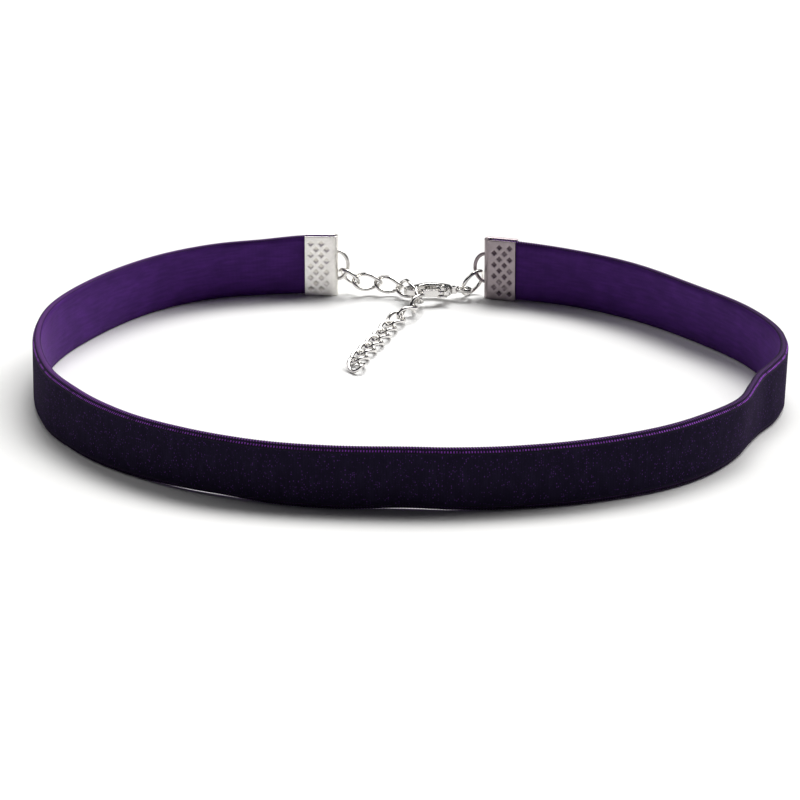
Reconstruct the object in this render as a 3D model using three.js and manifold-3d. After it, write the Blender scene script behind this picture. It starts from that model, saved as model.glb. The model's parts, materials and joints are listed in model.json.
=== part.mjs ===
// Velvet ribbon choker, fastened, standing on its lower edge.
// Millimetres, +Z up. The front of the choker faces -Y and the clasp lies at the back, towards +Y.
// The pieces are laid out about the middle of the ribbon's loop, and the whole group is then moved
// so that the origin is under the middle of the necklace, on the surface that it stands on.

import * as THREE from 'three';
import { mergeVertices } from 'three/addons/utils/BufferGeometryUtils.js';
import Module from 'manifold-3d';

const wasm = await Module();
wasm.setup();

// Velvet ribbon
const loopWidth = 117.0;        // the standing loop, left to right over the velvet
const loopDepth = 99.8;         // the standing loop, front to back over the velvet
const ribbonHeight = 10.0;      // width of the ribbon, which stands on its edge
const groundThickness = 1.0;    // woven ground
const pileHeight = 0.3;         // velvet pile, standing proud of the outer face
const selvedgeWidth = 0.5;      // bare woven edge above and below the pile
const pileSlope = 0.05;         // height over which the pile's edge rounds off
const crushedPile = 0.05;       // what is left of the pile inside a ribbon end
const pileRecovery = 1.6;       // length over which the pile rises again outside it

// Ribbon ends, crimped from sheet
const endLength = 5.4;
const endPlate = 0.4;           // sheet thickness
const endClearance = 0.1;       // between the sheet and the ribbon, and above and below its edges
const endFoldWall = 0.6;        // metal left in the fold, where the loop is soldered
const loopWire = 0.6;           // wire of the loop on a ribbon end
const loopTall = 5.4;           // height of that loop over its wire
const loopReach = 1.9;          // how far that loop stands out of the fold
const loopSink = 0.3;           // how deep its wire is soldered into the fold
const pitPitchAlong = 1.73;     // embossed pits, spacing along the ribbon
const pitPitchUp = 1.98;        // embossed pits, spacing of like rows
const pitWidth = 0.84;
const pitDepth = 0.16;
const pitMargin = 0.5;          // plain edge left round the pits

// Jump rings
const ringWire = 0.6;
const chainRingWidth = 4.2;     // outside width of the ring between ribbon end and chain
const claspRingWidth = 5.2;     // outside width of the ring between clasp and ribbon end

// Chain of twisted links
const linkLength = 5.2;
const linkWidth = 3.2;
const linkWire = 0.6;
const linkTwist = 45;           // degrees that each end of a link is twisted out of its middle
const linkPlay = 0.36;          // clearance between two links where they hang in each other
const tailLinks = 10;           // links of the free length, past the first link on the hook

// Lobster clasp: eye, neck, and an oval body with the lever in its front side
const claspThickness = 1.6;
const hookThickness = 0.96;
const eyeRing = 1.2;            // radius of the eye to the middle of its wire
const eyeWire = 0.7;
const neckWidth = 1.3;
const neckThickness = 1.1;
const bodyLength = 8.0;         // oval body, along the clasp
const bodyWidth = 5.0;
const noseWall = 0.96;          // metal between its opening and the nose
const backWall = 1.24;          // and between its opening and the neck
const holeLength = bodyLength - noseWall - backWall;
const holeWidth = 2.9;
const eyeToBody = 1.9;          // from the middle of the eye to the back of the body
const claspEdge = 0.25;         // rounding of the body's edges
const pivotFromBack = 2.07;     // from the back of the body to the lever's pivot
const tipFromNose = 2.18;       // from the lever's tip to the nose
const leverLength = bodyLength - pivotFromBack - tipFromNose;
const leverClearance = 0.12;
const pivotAlong = eyeToBody + pivotFromBack;
const pivotAcross = 1.62;       // pivot, from the middle line towards the lever's side
const rivetRadius = 0.32;
const rivetClearance = 0.06;    // round the rivet, in the body and in the lever
const cheekRadius = 0.95;       // body left round the pivot, on each side of the lever
const leverTongue = 0.6;        // thickness of the lever between the cheeks
const leverThickness = 1.2;     // thickness of the lever where it closes the body
const thumbReach = 1.25;        // how far the thumb piece stands out from the pivot

// Where the fastening lies, from the middle of the loop. Headings are in degrees from +X.
const claspAlong = 9.4;         // middle of the clasp's eye, to the right
const claspInset = 2.1;         // middle of the clasp's eye, inside the loop's plain back
const eyeDrop = 1.85;           // eye below the place where its ring hangs on the ribbon end
const claspHeading = 193;       // from the eye to the nose
const claspPitch = 3.0;         // degrees that the nose is higher than the eye
const claspRoll = 6.0;          // degrees that the lever's side hangs down

// The hook runs through two links of the chain. The first one stands square to the hook's metal,
// turned and shifted by the values below, and the second one starts the free length.
const heldLink = { angle: -37, turn: -8, pitch: -4, roll: 94, shift: 0.48 };
const secondLink = { turn: 88, pitch: 0, roll: 90 };

// The links and rings from there to the ribbon ends
const leftLinks = [
  { heading: 166, roll: 82 },
  { heading: 182, roll: 86 },
];
const chainRingRun = { heading: 160, pitch: 28, roll: 45 };
const chainRingSeat = -40;      // degrees round the ribbon end's loop where the chain's ring hangs
const claspRingRun = { heading: 16, roll: 129 };
const claspRingSeat = -42;
const claspRingHold = 36;       // degrees round the clasp's eye where its ring holds
const leftEndHeading = -4;      // the ribbon ends, from the ribbon to their loops
const rightEndHeading = 164;

// Route of the chain's free length, from the middle of the clasp's eye: x, y and height of the links
const tailRoute = [
  [-7.55, -6.7, 1.8],
  [-8.65, -9.8, 1.55],
  [-10.65, -12.2, 1.2],
  [-11.95, -15.8, 0.8],
  [-13.85, -22.2, 0.8],
  [-15.75, -27.9, 0.8],
  [-17.25, -32.6, 0.8],
  [-16.9, -37.2, 0.8],
];
const tailRolls = [70, 40];     // roll of the links that come down from the hook, the rest lie flat

// Stations of the ribbon from the left ribbon end round the front to the right one.
// turn: degrees round the loop from +X. reach: share of the plain oval's radius there.
// lean: how much further out the top edge is than the bottom one, as a share of the ribbon's height.
// lift: how high the bottom edge is off the surface, as a share of the ribbon's height.
const stations = [
  { turn: 116, reach: 1.070, lean: -0.14, lift: 0 },
  { turn: 124, reach: 1.090, lean: -0.18, lift: 0 },
  { turn: 135, reach: 1.080, lean: -0.14, lift: 0 },
  { turn: 150, reach: 1.040, lean: -0.04, lift: 0 },
  { turn: 165, reach: 1.015, lean: 0.00, lift: 0 },
  { turn: 180, reach: 0.990, lean: 0.00, lift: 0 },
  { turn: 195, reach: 0.990, lean: -0.02, lift: 0 },
  { turn: 205, reach: 0.990, lean: -0.02, lift: 0 },
  { turn: 212, reach: 0.995, lean: 0.00, lift: 0 },
  { turn: 221, reach: 1.000, lean: 0.06, lift: 0.005 },
  { turn: 230, reach: 1.005, lean: 0.10, lift: 0.020 },
  { turn: 238, reach: 1.005, lean: 0.14, lift: 0.020 },
  { turn: 247, reach: 1.005, lean: 0.08, lift: 0.005 },
  { turn: 258, reach: 1.000, lean: 0.04, lift: 0.005 },
  { turn: 270, reach: 0.995, lean: 0.10, lift: 0.020 },
  { turn: 278, reach: 1.010, lean: 0.06, lift: 0.015 },
  { turn: 288, reach: 1.020, lean: 0.04, lift: 0 },
  { turn: 300, reach: 1.040, lean: 0.02, lift: 0.005 },
  { turn: 313, reach: 1.055, lean: 0.00, lift: 0.010 },
  { turn: 322, reach: 1.050, lean: 0.02, lift: 0.010 },
  { turn: 331, reach: 1.030, lean: 0.12, lift: 0 },
  { turn: 338, reach: 1.000, lean: 0.08, lift: 0 },
  { turn: 343, reach: 0.990, lean: 0.02, lift: 0 },
  { turn: 348, reach: 1.000, lean: 0.00, lift: 0 },
  { turn: 354, reach: 1.010, lean: 0.04, lift: 0 },
  { turn: 363, reach: 1.005, lean: 0.04, lift: 0 },
  { turn: 375, reach: 0.980, lean: -0.04, lift: 0 },
  { turn: 390, reach: 0.955, lean: -0.12, lift: 0 },
  { turn: 405, reach: 0.975, lean: -0.08, lift: 0 },
  { turn: 418, reach: 0.995, lean: -0.08, lift: 0 },
];

// How finely the round shapes are stepped
const ribbonSteps = 132;
const linkSteps = 14;
const wireSides = 6;
const ringSteps = 16;
const foldSteps = 8;
const ovalSteps = 28;

// Colours and finishes
const velvet = { color: 0x17131c, roughness: 0.95, metalness: 0.0 };
const silver = { color: 0xd6d3cf, roughness: 0.25, metalness: 1.0 };
const crimpedSilver = { color: 0xb4aca8, roughness: 0.4, metalness: 1.0 };

const radians = THREE.MathUtils.degToRad;
const necklace = new THREE.Group();

function addPiece(name, geometry, finish) {
  const piece = new THREE.Mesh(geometry, new THREE.MeshStandardMaterial(finish));
  piece.name = name;
  necklace.add(piece);
  return piece;
}

// Turns a piece's own x axis to a heading and a pitch, after rolling it about that axis.
// At roll 0 its own y axis is level, and at roll 90 it stands up.
function aim(heading, pitch, roll) {
  const turn = new THREE.Euler(radians(roll), -radians(pitch), radians(heading), 'ZYX');
  return new THREE.Quaternion().setFromEuler(turn);
}

function alongHeading(heading, pitch) {
  return new THREE.Vector3(1, 0, 0).applyQuaternion(aim(heading, pitch, 0));
}

// Joins and cuts

function toSolid(geometry) {
  const bare = geometry.index ? geometry.toNonIndexed() : geometry.clone();
  bare.deleteAttribute('normal');
  bare.deleteAttribute('uv');
  const merged = mergeVertices(bare, 1e-5);
  return new wasm.Manifold(new wasm.Mesh({
    numProp: 3,
    vertProperties: new Float32Array(merged.attributes.position.array),
    triVerts: new Uint32Array(merged.index.array),
  }));
}

function toGeometry(solid) {
  const mesh = solid.getMesh();
  const geometry = new THREE.BufferGeometry();
  geometry.setAttribute('position', new THREE.BufferAttribute(mesh.vertProperties, 3));
  geometry.setIndex(new THREE.BufferAttribute(mesh.triVerts, 1));
  return geometry;
}

// Flat shape given a thickness, centred on z = 0, with its edges cut back by the named rounding
function plate(shape, thickness, rounding, steps) {
  const geometry = new THREE.ExtrudeGeometry(shape, {
    depth: thickness - 2 * rounding,
    bevelEnabled: rounding > 0,
    bevelSize: rounding,
    bevelOffset: -rounding,
    bevelThickness: rounding,
    bevelSegments: 1,
    curveSegments: steps,
  });
  return geometry.translate(0, 0, -(thickness - 2 * rounding) / 2);
}

function ovalShape(middle, length, width) {
  const shape = new THREE.Shape();
  shape.absellipse(middle, 0, length / 2, width / 2, 0, 2 * Math.PI, false, 0);
  return shape;
}

function roundPlate(x, y, radius, thickness) {
  return new THREE.CylinderGeometry(radius, radius, thickness, ringSteps)
    .rotateX(Math.PI / 2)
    .translate(x, y, 0);
}

// Grid of quadrilaterals over sections that each are a ring of points
function gridIndex(count, sides, closed) {
  const index = [];
  const last = closed ? count : count - 1;
  for (let i = 0; i < last; i += 1) {
    const here = i * sides;
    const next = ((i + 1) % count) * sides;
    for (let j = 0; j < sides; j += 1) {
      const k = (j + 1) % sides;
      index.push(here + j, here + k, next + k, here + j, next + k, next + j);
    }
  }
  return index;
}

function gridGeometry(sections, index) {
  const positions = sections.flat().flatMap((point) => [point.x, point.y, point.z]);
  const geometry = new THREE.BufferGeometry();
  geometry.setAttribute('position', new THREE.Float32BufferAttribute(positions, 3));
  geometry.setIndex(index);
  return geometry;
}

function closedLoft(sections) {
  return gridGeometry(sections, gridIndex(sections.length, sections[0].length, true));
}

// Open row of sections, each end closed by a fan of triangles round the section's first point
function cappedLoft(sections) {
  const sides = sections[0].length;
  const index = gridIndex(sections.length, sides, false);
  const end = (sections.length - 1) * sides;
  for (let j = 1; j < sides - 1; j += 1) {
    index.push(0, j + 1, j, end, end + j, end + j + 1);
  }
  return gridGeometry(sections, index);
}

// Twisted oval link in its own frame, its length along x and its middle lying in the plane z = 0

function linkPoint(turn) {
  const halfLength = (linkLength - linkWire) / 2;
  const halfWidth = (linkWidth - linkWire) / 2;
  const twist = radians(linkTwist) * Math.cos(turn);
  const across = halfWidth * Math.sin(turn);
  return new THREE.Vector3(
    halfLength * Math.cos(turn), across * Math.cos(twist), across * Math.sin(twist),
  );
}

function linkGeometry() {
  const sections = [];
  for (let i = 0; i < linkSteps; i += 1) {
    const turn = (2 * Math.PI * i) / linkSteps;
    const middle = linkPoint(turn);
    const ahead = linkPoint(turn + 0.01).sub(linkPoint(turn - 0.01)).normalize();
    const out = new THREE.Vector3(0, middle.y, middle.z).add(new THREE.Vector3(middle.x, 0, 0));
    out.addScaledVector(ahead, -out.dot(ahead)).normalize();
    const up = new THREE.Vector3().crossVectors(ahead, out);
    const section = [];
    for (let j = 0; j < wireSides; j += 1) {
      const around = (2 * Math.PI * (j + 0.5)) / wireSides;
      section.push(middle.clone()
        .addScaledVector(out, (linkWire / 2) * Math.cos(around))
        .addScaledVector(up, (linkWire / 2) * Math.sin(around)));
    }
    sections.push(section);
  }
  return closedLoft(sections);
}

// Distance between the two places where a link holds its neighbours
const linkPitch = linkLength - 2 * linkWire - linkPlay;

function addLink(name, from, to, roll) {
  const along = to.clone().sub(from);
  const heading = THREE.MathUtils.radToDeg(Math.atan2(along.y, along.x));
  const pitch = THREE.MathUtils.radToDeg(Math.atan2(along.z, Math.hypot(along.x, along.y)));
  const link = addPiece(name, linkGeometry(), silver);
  link.position.copy(from).add(to).multiplyScalar(0.5);
  link.quaternion.copy(aim(heading, pitch, roll));
}

function ringRadius(width) {
  return (width - ringWire) / 2;
}

// From the middle of a ring to the middle of a wire that hangs in it
function ringHold(width, wire) {
  return ringRadius(width) - (ringWire + wire) / 2 - linkPlay;
}

function addRing(name, width, middle, orientation) {
  const wire = new THREE.TorusGeometry(ringRadius(width), ringWire / 2, wireSides, ringSteps);
  const ring = addPiece(name, wire, silver);
  ring.position.copy(middle);
  ring.quaternion.copy(orientation);
}

// Lobster clasp in its own frame: x from the eye to the nose, y towards the lever, z up

const bodyMiddle = eyeToBody + bodyLength / 2;
const holeMiddle = eyeToBody + bodyLength - noseWall - holeLength / 2;

// Middle of the body's metal at an angle round its nose, positive towards the lever
function wallPoint(angle) {
  const outer = [
    bodyMiddle + (bodyLength / 2) * Math.cos(radians(angle)), (bodyWidth / 2) * Math.sin(radians(angle)),
  ];
  const inner = [
    holeMiddle + (holeLength / 2) * Math.cos(radians(angle)), (holeWidth / 2) * Math.sin(radians(angle)),
  ];
  return new THREE.Vector3((outer[0] + inner[0]) / 2, (outer[1] + inner[1]) / 2, 0);
}

// Sector of a ring about the pivot, through which the lever swings, as a plate
function leverSector(innerRadius, outerRadius, fromAngle, toAngle, thickness) {
  const shape = new THREE.Shape();
  shape.absarc(0, 0, outerRadius, radians(fromAngle), radians(toAngle), false);
  shape.absarc(0, 0, innerRadius, radians(toAngle), radians(fromAngle), true);
  return toSolid(plate(shape, thickness, 0, ringSteps).translate(pivotAlong, pivotAcross, 0));
}

// The oval wall of the body, with its nose thinned to the hook's thickness
function bodyWall() {
  const wall = ovalShape(bodyMiddle, bodyLength, bodyWidth);
  wall.holes.push(ovalShape(holeMiddle, holeLength, holeWidth));
  const noseFrom = pivotAlong + leverLength;
  const sideView = new THREE.Shape();
  const tall = claspThickness / 2;
  const thin = hookThickness / 2;
  const nose = bodyMiddle + bodyLength;
  sideView.moveTo(-bodyLength, -tall);
  sideView.lineTo(bodyMiddle, -tall);
  sideView.lineTo(noseFrom, -thin);
  sideView.lineTo(nose, -thin);
  sideView.lineTo(nose, thin);
  sideView.lineTo(noseFrom, thin);
  sideView.lineTo(bodyMiddle, tall);
  sideView.lineTo(-bodyLength, tall);
  const envelope = plate(sideView, 2 * bodyWidth, 0, 1).rotateX(Math.PI / 2);
  return toSolid(plate(wall, claspThickness, claspEdge, ovalSteps)).intersect(toSolid(envelope));
}

function claspBodyGeometry() {
  const eye = toSolid(new THREE.TorusGeometry(eyeRing, eyeWire / 2, wireSides + 2, ringSteps));
  const neckLength = bodyMiddle - bodyLength / 2 + noseWall - eyeRing;
  const neck = toSolid(new THREE.BoxGeometry(neckLength, neckWidth, neckThickness)
    .translate(eyeRing + neckLength / 2, 0, 0));
  const cheeks = toSolid(roundPlate(pivotAlong, pivotAcross, cheekRadius, claspThickness));
  const swing = leverSector(cheekRadius, leverLength, -40, 90, 2 * claspThickness);
  const slotHeight = leverTongue + 2 * leverClearance;
  const slot = leverSector(0.001, leverLength, -110, 190, slotHeight)
    .add(toSolid(roundPlate(pivotAlong, pivotAcross, cheekRadius, slotHeight)));
  const rivetHole = toSolid(roundPlate(
    pivotAlong, pivotAcross, rivetRadius + rivetClearance, 2 * claspThickness,
  ));
  const behindLever = bodyWall().subtract(swing);
  return toGeometry(behindLever.add(cheeks).add(neck).add(eye).subtract(slot).subtract(rivetHole));
}

function leverGeometry() {
  const inner = cheekRadius + leverClearance;
  const outer = leverLength - leverClearance;
  const band = bodyWall().intersect(leverSector(inner, outer, -38, 80, leverThickness));
  const tongueBand = bodyWall().intersect(leverSector(0.001, outer, -38, 80, leverTongue));
  const boss = toSolid(roundPlate(pivotAlong, pivotAcross, cheekRadius - leverClearance, leverTongue));
  const thumb = toSolid(new THREE.BoxGeometry(cheekRadius, thumbReach, leverTongue)
    .translate(pivotAlong - cheekRadius / 2, pivotAcross + thumbReach / 2, 0));
  const rivetHole = toSolid(roundPlate(
    pivotAlong, pivotAcross, rivetRadius + rivetClearance, 2 * claspThickness,
  ));
  return toGeometry(band.add(tongueBand).add(boss).add(thumb).subtract(rivetHole));
}

// Ribbon end in its own frame: x from its mouth to its loop, z up from the surface

const endHeight = ribbonHeight + 2 * endClearance;
const endHalf = groundThickness / 2 + endClearance + endPlate;
const slotHalf = groundThickness / 2 + endClearance;

function foldedSheet() {
  const shape = new THREE.Shape();
  shape.moveTo(0, -endHalf);
  shape.lineTo(endLength - endHalf, -endHalf);
  shape.absarc(endLength - endHalf, 0, endHalf, -Math.PI / 2, Math.PI / 2, false);
  shape.lineTo(0, endHalf);
  shape.lineTo(0, slotHalf);
  shape.lineTo(endLength - endFoldWall - slotHalf, slotHalf);
  shape.absarc(endLength - endFoldWall - slotHalf, 0, slotHalf, Math.PI / 2, -Math.PI / 2, true);
  shape.lineTo(0, -slotHalf);
  shape.closePath();
  const geometry = new THREE.ExtrudeGeometry(shape, {
    depth: endHeight, bevelEnabled: false, curveSegments: foldSteps,
  });
  return toSolid(geometry);
}

// Point on the middle of the loop's wire, at an angle from its outermost point
function endLoopPoint(angle) {
  const out = loopReach + loopSink - loopWire / 2;
  const up = (loopTall - loopWire) / 2;
  return new THREE.Vector3(
    endLength - loopSink + out * Math.cos(radians(angle)),
    0,
    endHeight / 2 + up * Math.sin(radians(angle)),
  );
}

function endLoop() {
  const sections = [];
  for (let angle = -90; angle <= 90; angle += 15) {
    const middle = endLoopPoint(angle);
    const ahead = endLoopPoint(angle + 0.5).sub(endLoopPoint(angle - 0.5)).normalize();
    const side = new THREE.Vector3(0, 1, 0);
    const out = new THREE.Vector3().crossVectors(side, ahead);
    const section = [];
    for (let j = 0; j < wireSides + 2; j += 1) {
      const around = (2 * Math.PI * j) / (wireSides + 2);
      section.push(middle.clone()
        .addScaledVector(out, (loopWire / 2) * Math.cos(around))
        .addScaledVector(side, (loopWire / 2) * Math.sin(around)));
    }
    sections.push(section);
  }
  return sections;
}

// One embossed pit as a four-sided point that is pressed in from y = 0 towards -y
function pitGeometry(x, z) {
  return new THREE.ConeGeometry(pitWidth / Math.SQRT2, 2 * pitDepth, 4)
    .rotateX(Math.PI)
    .translate(x, 0, z);
}

function pits() {
  const spanAlong = endLength - endHalf - 2 * pitMargin;
  const spanUp = endHeight - 2 * pitMargin;
  const columns = Math.floor((spanAlong - pitWidth / 2) / (pitPitchAlong / 2)) + 1;
  const rows = Math.floor((spanUp - pitWidth) / pitPitchUp) + 1;
  const found = [];
  for (let column = 0; column < columns; column += 1) {
    const shifted = column % 2 === 1;
    const count = shifted ? rows - 1 : rows;
    for (let row = 0; row < count; row += 1) {
      const x = pitMargin + pitWidth / 2 + (column * pitPitchAlong) / 2;
      const z = endHeight / 2 + (row - (count - 1) / 2) * pitPitchUp;
      found.push(toSolid(pitGeometry(x, z).translate(0, endHalf, 0)));
      found.push(toSolid(pitGeometry(x, -z).rotateX(Math.PI).translate(0, -endHalf, 0)));
    }
  }
  return wasm.Manifold.union(found);
}

function ribbonEndGeometry() {
  const loop = toSolid(cappedLoft(endLoop()));
  return toGeometry(foldedSheet().subtract(pits()).add(loop));
}

// Velvet ribbon

function ovalRadius(turn) {
  const halfWidth = loopWidth / 2 - pileHeight - groundThickness / 2;
  const halfDepth = loopDepth / 2 - pileHeight - groundThickness / 2;
  return (halfWidth * halfDepth)
    / Math.hypot(halfDepth * Math.cos(radians(turn)), halfWidth * Math.sin(radians(turn)));
}

function plainBack() {
  return ovalRadius(90);
}

// A ribbon end's mouth and the blind end of its slot, on the surface
function endMouth(place) {
  return place.at.clone();
}

function slotEnd(place) {
  const deep = endLength - endFoldWall - slotHalf;
  return place.at.clone().addScaledVector(alongHeading(place.heading, 0), deep);
}

// Samples along the ribbon's middle: place, outward direction, lean, lift and pile
function ribbonPath(leftEnd, rightEnd) {
  const knots = stations.map(({ turn, reach, lean, lift }) => {
    const radius = reach * ovalRadius(turn);
    return {
      at: new THREE.Vector3(radius * Math.cos(radians(turn)), radius * Math.sin(radians(turn)), 0),
      edges: new THREE.Vector3(lean, lift, 0),
    };
  });
  const still = new THREE.Vector3(0, endClearance / ribbonHeight, 0);
  const places = [slotEnd(leftEnd), endMouth(leftEnd)]
    .concat(knots.map((knot) => knot.at), [endMouth(rightEnd), slotEnd(rightEnd)]);
  const edges = [still, still].concat(knots.map((knot) => knot.edges), [still, still]);
  const route = new THREE.CatmullRomCurve3(places, false, 'centripetal');
  const edgeRoute = new THREE.CatmullRomCurve3(edges, false, 'catmullrom', 0.5);
  const spans = places.length - 1;
  const samples = [{ at: places[0].clone(), edge: still }];
  const total = route.getLength();
  for (let span = 1; span < spans - 1; span += 1) {
    const length = places[span].distanceTo(places[span + 1]);
    const steps = Math.max(2, Math.round((ribbonSteps * length) / total));
    for (let i = 0; i < steps; i += 1) {
      const share = (span + i / steps) / spans;
      samples.push({ at: route.getPoint(share), edge: edgeRoute.getPoint(share) });
    }
  }
  samples.push({ at: places[spans - 1].clone(), edge: still });
  samples.push({ at: places[spans].clone(), edge: still });
  return samples;
}

function ribbonGeometry(leftEnd, rightEnd) {
  const samples = ribbonPath(leftEnd, rightEnd);
  const mouths = [endMouth(leftEnd), endMouth(rightEnd)];
  const sections = samples.map(({ at, edge }, i) => {
    const before = samples[Math.max(i - 1, 0)].at;
    const after = samples[Math.min(i + 1, samples.length - 1)].at;
    const ahead = after.clone().sub(before).normalize();
    const out = new THREE.Vector3(ahead.y, -ahead.x, 0);
    const inside = i === 0 || i === samples.length - 1;
    const away = inside ? 0 : Math.min(...mouths.map((mouth) => mouth.distanceTo(at)));
    const risen = THREE.MathUtils.smoothstep(away, 0, pileRecovery);
    const pile = THREE.MathUtils.lerp(crushedPile, pileHeight, risen);
    const inner = -groundThickness / 2;
    const outer = groundThickness / 2;
    const profile = [
      [inner, 0],
      [inner, ribbonHeight],
      [outer, ribbonHeight],
      [outer, ribbonHeight - selvedgeWidth],
      [outer + pile, ribbonHeight - selvedgeWidth - pileSlope],
      [outer + pile, selvedgeWidth + pileSlope],
      [outer, selvedgeWidth],
      [outer, 0],
    ];
    return profile.map(([across, up]) => at.clone()
      .addScaledVector(out, across + edge.x * (up - ribbonHeight / 2))
      .add(new THREE.Vector3(0, 0, up + edge.y * ribbonHeight)));
  });
  return cappedLoft(sections);
}

// The fastening, laid out from the clasp to both ribbon ends

const claspRingSeatHeight = endLoopPoint(claspRingSeat).z;
const eyePlace = new THREE.Vector3(
  claspAlong, plainBack() - claspInset, claspRingSeatHeight - eyeDrop,
);
const claspTurn = aim(claspHeading, claspPitch, claspRoll);

function onClasp(point) {
  return point.clone().applyQuaternion(claspTurn).add(eyePlace);
}

for (const [name, geometry] of [
  ['clasp_body', claspBodyGeometry()],
  ['clasp_lever', leverGeometry()],
  ['clasp_rivet', roundPlate(pivotAlong, pivotAcross, rivetRadius, claspThickness)],
]) {
  const piece = addPiece(name, geometry, silver);
  piece.position.copy(eyePlace);
  piece.quaternion.copy(claspTurn);
}

// The first link on the hook, and the second one, which hangs in its inner end
const hookMiddle = onClasp(wallPoint(heldLink.angle));
const hookAhead = onClasp(wallPoint(heldLink.angle + 1)).sub(hookMiddle);
const hookHeading = THREE.MathUtils.radToDeg(Math.atan2(hookAhead.y, hookAhead.x));
const heldAxis = alongHeading(hookHeading - 90 + heldLink.turn, heldLink.pitch);
const heldFrom = hookMiddle.clone().addScaledVector(heldAxis, heldLink.shift - linkPitch / 2);
const heldTo = hookMiddle.clone().addScaledVector(heldAxis, heldLink.shift + linkPitch / 2);
const secondTo = heldFrom.clone().addScaledVector(
  alongHeading(claspHeading + secondLink.turn, secondLink.pitch), linkPitch,
);

function linkName(number) {
  return `chain_link_${String(number).padStart(2, '0')}`;
}

addLink(linkName(leftLinks.length + 1), heldFrom, heldTo, heldLink.roll);
addLink(linkName(leftLinks.length + 2), heldFrom, secondTo, secondLink.roll);

// From there to the left, up to the loop of the left ribbon end
const chainHold = ringHold(chainRingWidth, linkWire) + (linkWire + linkPlay) / 2;
const loopHold = ringHold(chainRingWidth, loopWire);
const chainRingAxis = alongHeading(chainRingRun.heading, chainRingRun.pitch);
const leftClimb = endLoopPoint(chainRingSeat).z - heldTo.z - chainRingAxis.z * (chainHold + loopHold);
const leftPitch = THREE.MathUtils.radToDeg(Math.asin(leftClimb / (leftLinks.length * linkPitch)));

let hold = heldTo.clone();
leftLinks.forEach(({ heading, roll }, i) => {
  const next = hold.clone().addScaledVector(alongHeading(heading, leftPitch), linkPitch);
  addLink(linkName(leftLinks.length - i), hold, next, roll);
  hold = next;
});

const chainRingMiddle = hold.clone().addScaledVector(chainRingAxis, chainHold);
addRing('jump_ring_chain', chainRingWidth, chainRingMiddle,
  aim(chainRingRun.heading, chainRingRun.pitch, chainRingRun.roll));

// Ribbon end whose loop holds a ring at the given place
function placeEnd(name, heading, seat, wireMiddle) {
  const turn = aim(heading, 0, 0);
  const at = wireMiddle.clone().sub(endLoopPoint(seat).applyQuaternion(turn));
  const end = addPiece(name, ribbonEndGeometry(), crimpedSilver);
  end.quaternion.copy(turn);
  end.position.set(at.x, at.y, 0);
  return { at: end.position.clone(), heading };
}

const leftWire = chainRingMiddle.clone().addScaledVector(chainRingAxis, loopHold);
const leftEnd = placeEnd('ribbon_end_left', leftEndHeading, chainRingSeat, leftWire);

// From the clasp's eye to the right, up to the loop of the right ribbon end
const eyeHold = ringHold(claspRingWidth, eyeWire);
const rightLoopHold = ringHold(claspRingWidth, loopWire);
const eyeWirePlace = onClasp(new THREE.Vector3(
  -eyeRing * Math.cos(radians(claspRingHold)), -eyeRing * Math.sin(radians(claspRingHold)), 0,
));
const rightClimb = claspRingSeatHeight - eyeWirePlace.z;
const rightPitch = THREE.MathUtils.radToDeg(Math.asin(rightClimb / (eyeHold + rightLoopHold)));
const claspRingAxis = alongHeading(claspRingRun.heading, rightPitch);
const claspRingMiddle = eyeWirePlace.clone().addScaledVector(claspRingAxis, eyeHold);
addRing('jump_ring_clasp', claspRingWidth, claspRingMiddle,
  aim(claspRingRun.heading, rightPitch, claspRingRun.roll));
const rightWire = claspRingMiddle.clone().addScaledVector(claspRingAxis, rightLoopHold);
const rightEnd = placeEnd('ribbon_end_right', rightEndHeading, claspRingSeat, rightWire);

// The rest of the free length, link by link along its route
const routePoints = [secondTo.clone()].concat(tailRoute.map(([x, y, z]) => (
  new THREE.Vector3(eyePlace.x + x, eyePlace.y + y, z))));
const lastLeg = routePoints.at(-1).clone().sub(routePoints.at(-2));
routePoints.push(routePoints.at(-1).clone().addScaledVector(lastLeg, 2));
const tailCurve = new THREE.CatmullRomCurve3(routePoints, false, 'centripetal');
const walkStep = 0.0002;

let walked = 0;
hold = secondTo.clone();
for (let i = 0; i < tailLinks - 1; i += 1) {
  let next = hold;
  while (next.distanceTo(hold) < linkPitch) {
    walked += walkStep;
    next = tailCurve.getPoint(walked);
  }
  addLink(linkName(leftLinks.length + 3 + i), hold, next, tailRolls[i] ?? 0);
  hold = next.clone();
}

addPiece('velvet_ribbon', ribbonGeometry(leftEnd, rightEnd), velvet);

// Origin under the middle of the whole necklace
necklace.updateMatrixWorld(true);
const bounds = new THREE.Box3().setFromObject(necklace, true);
const middle = bounds.getCenter(new THREE.Vector3());
necklace.position.set(-middle.x, -middle.y, -bounds.min.z);

export default necklace;
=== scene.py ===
"""Velvet ribbon choker, fastened and standing on its lower edge on a white surface.

Sizes are in metres. The front of the choker faces -Y, the clasp lies at the back, and Z is up.
"""

import json

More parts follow.
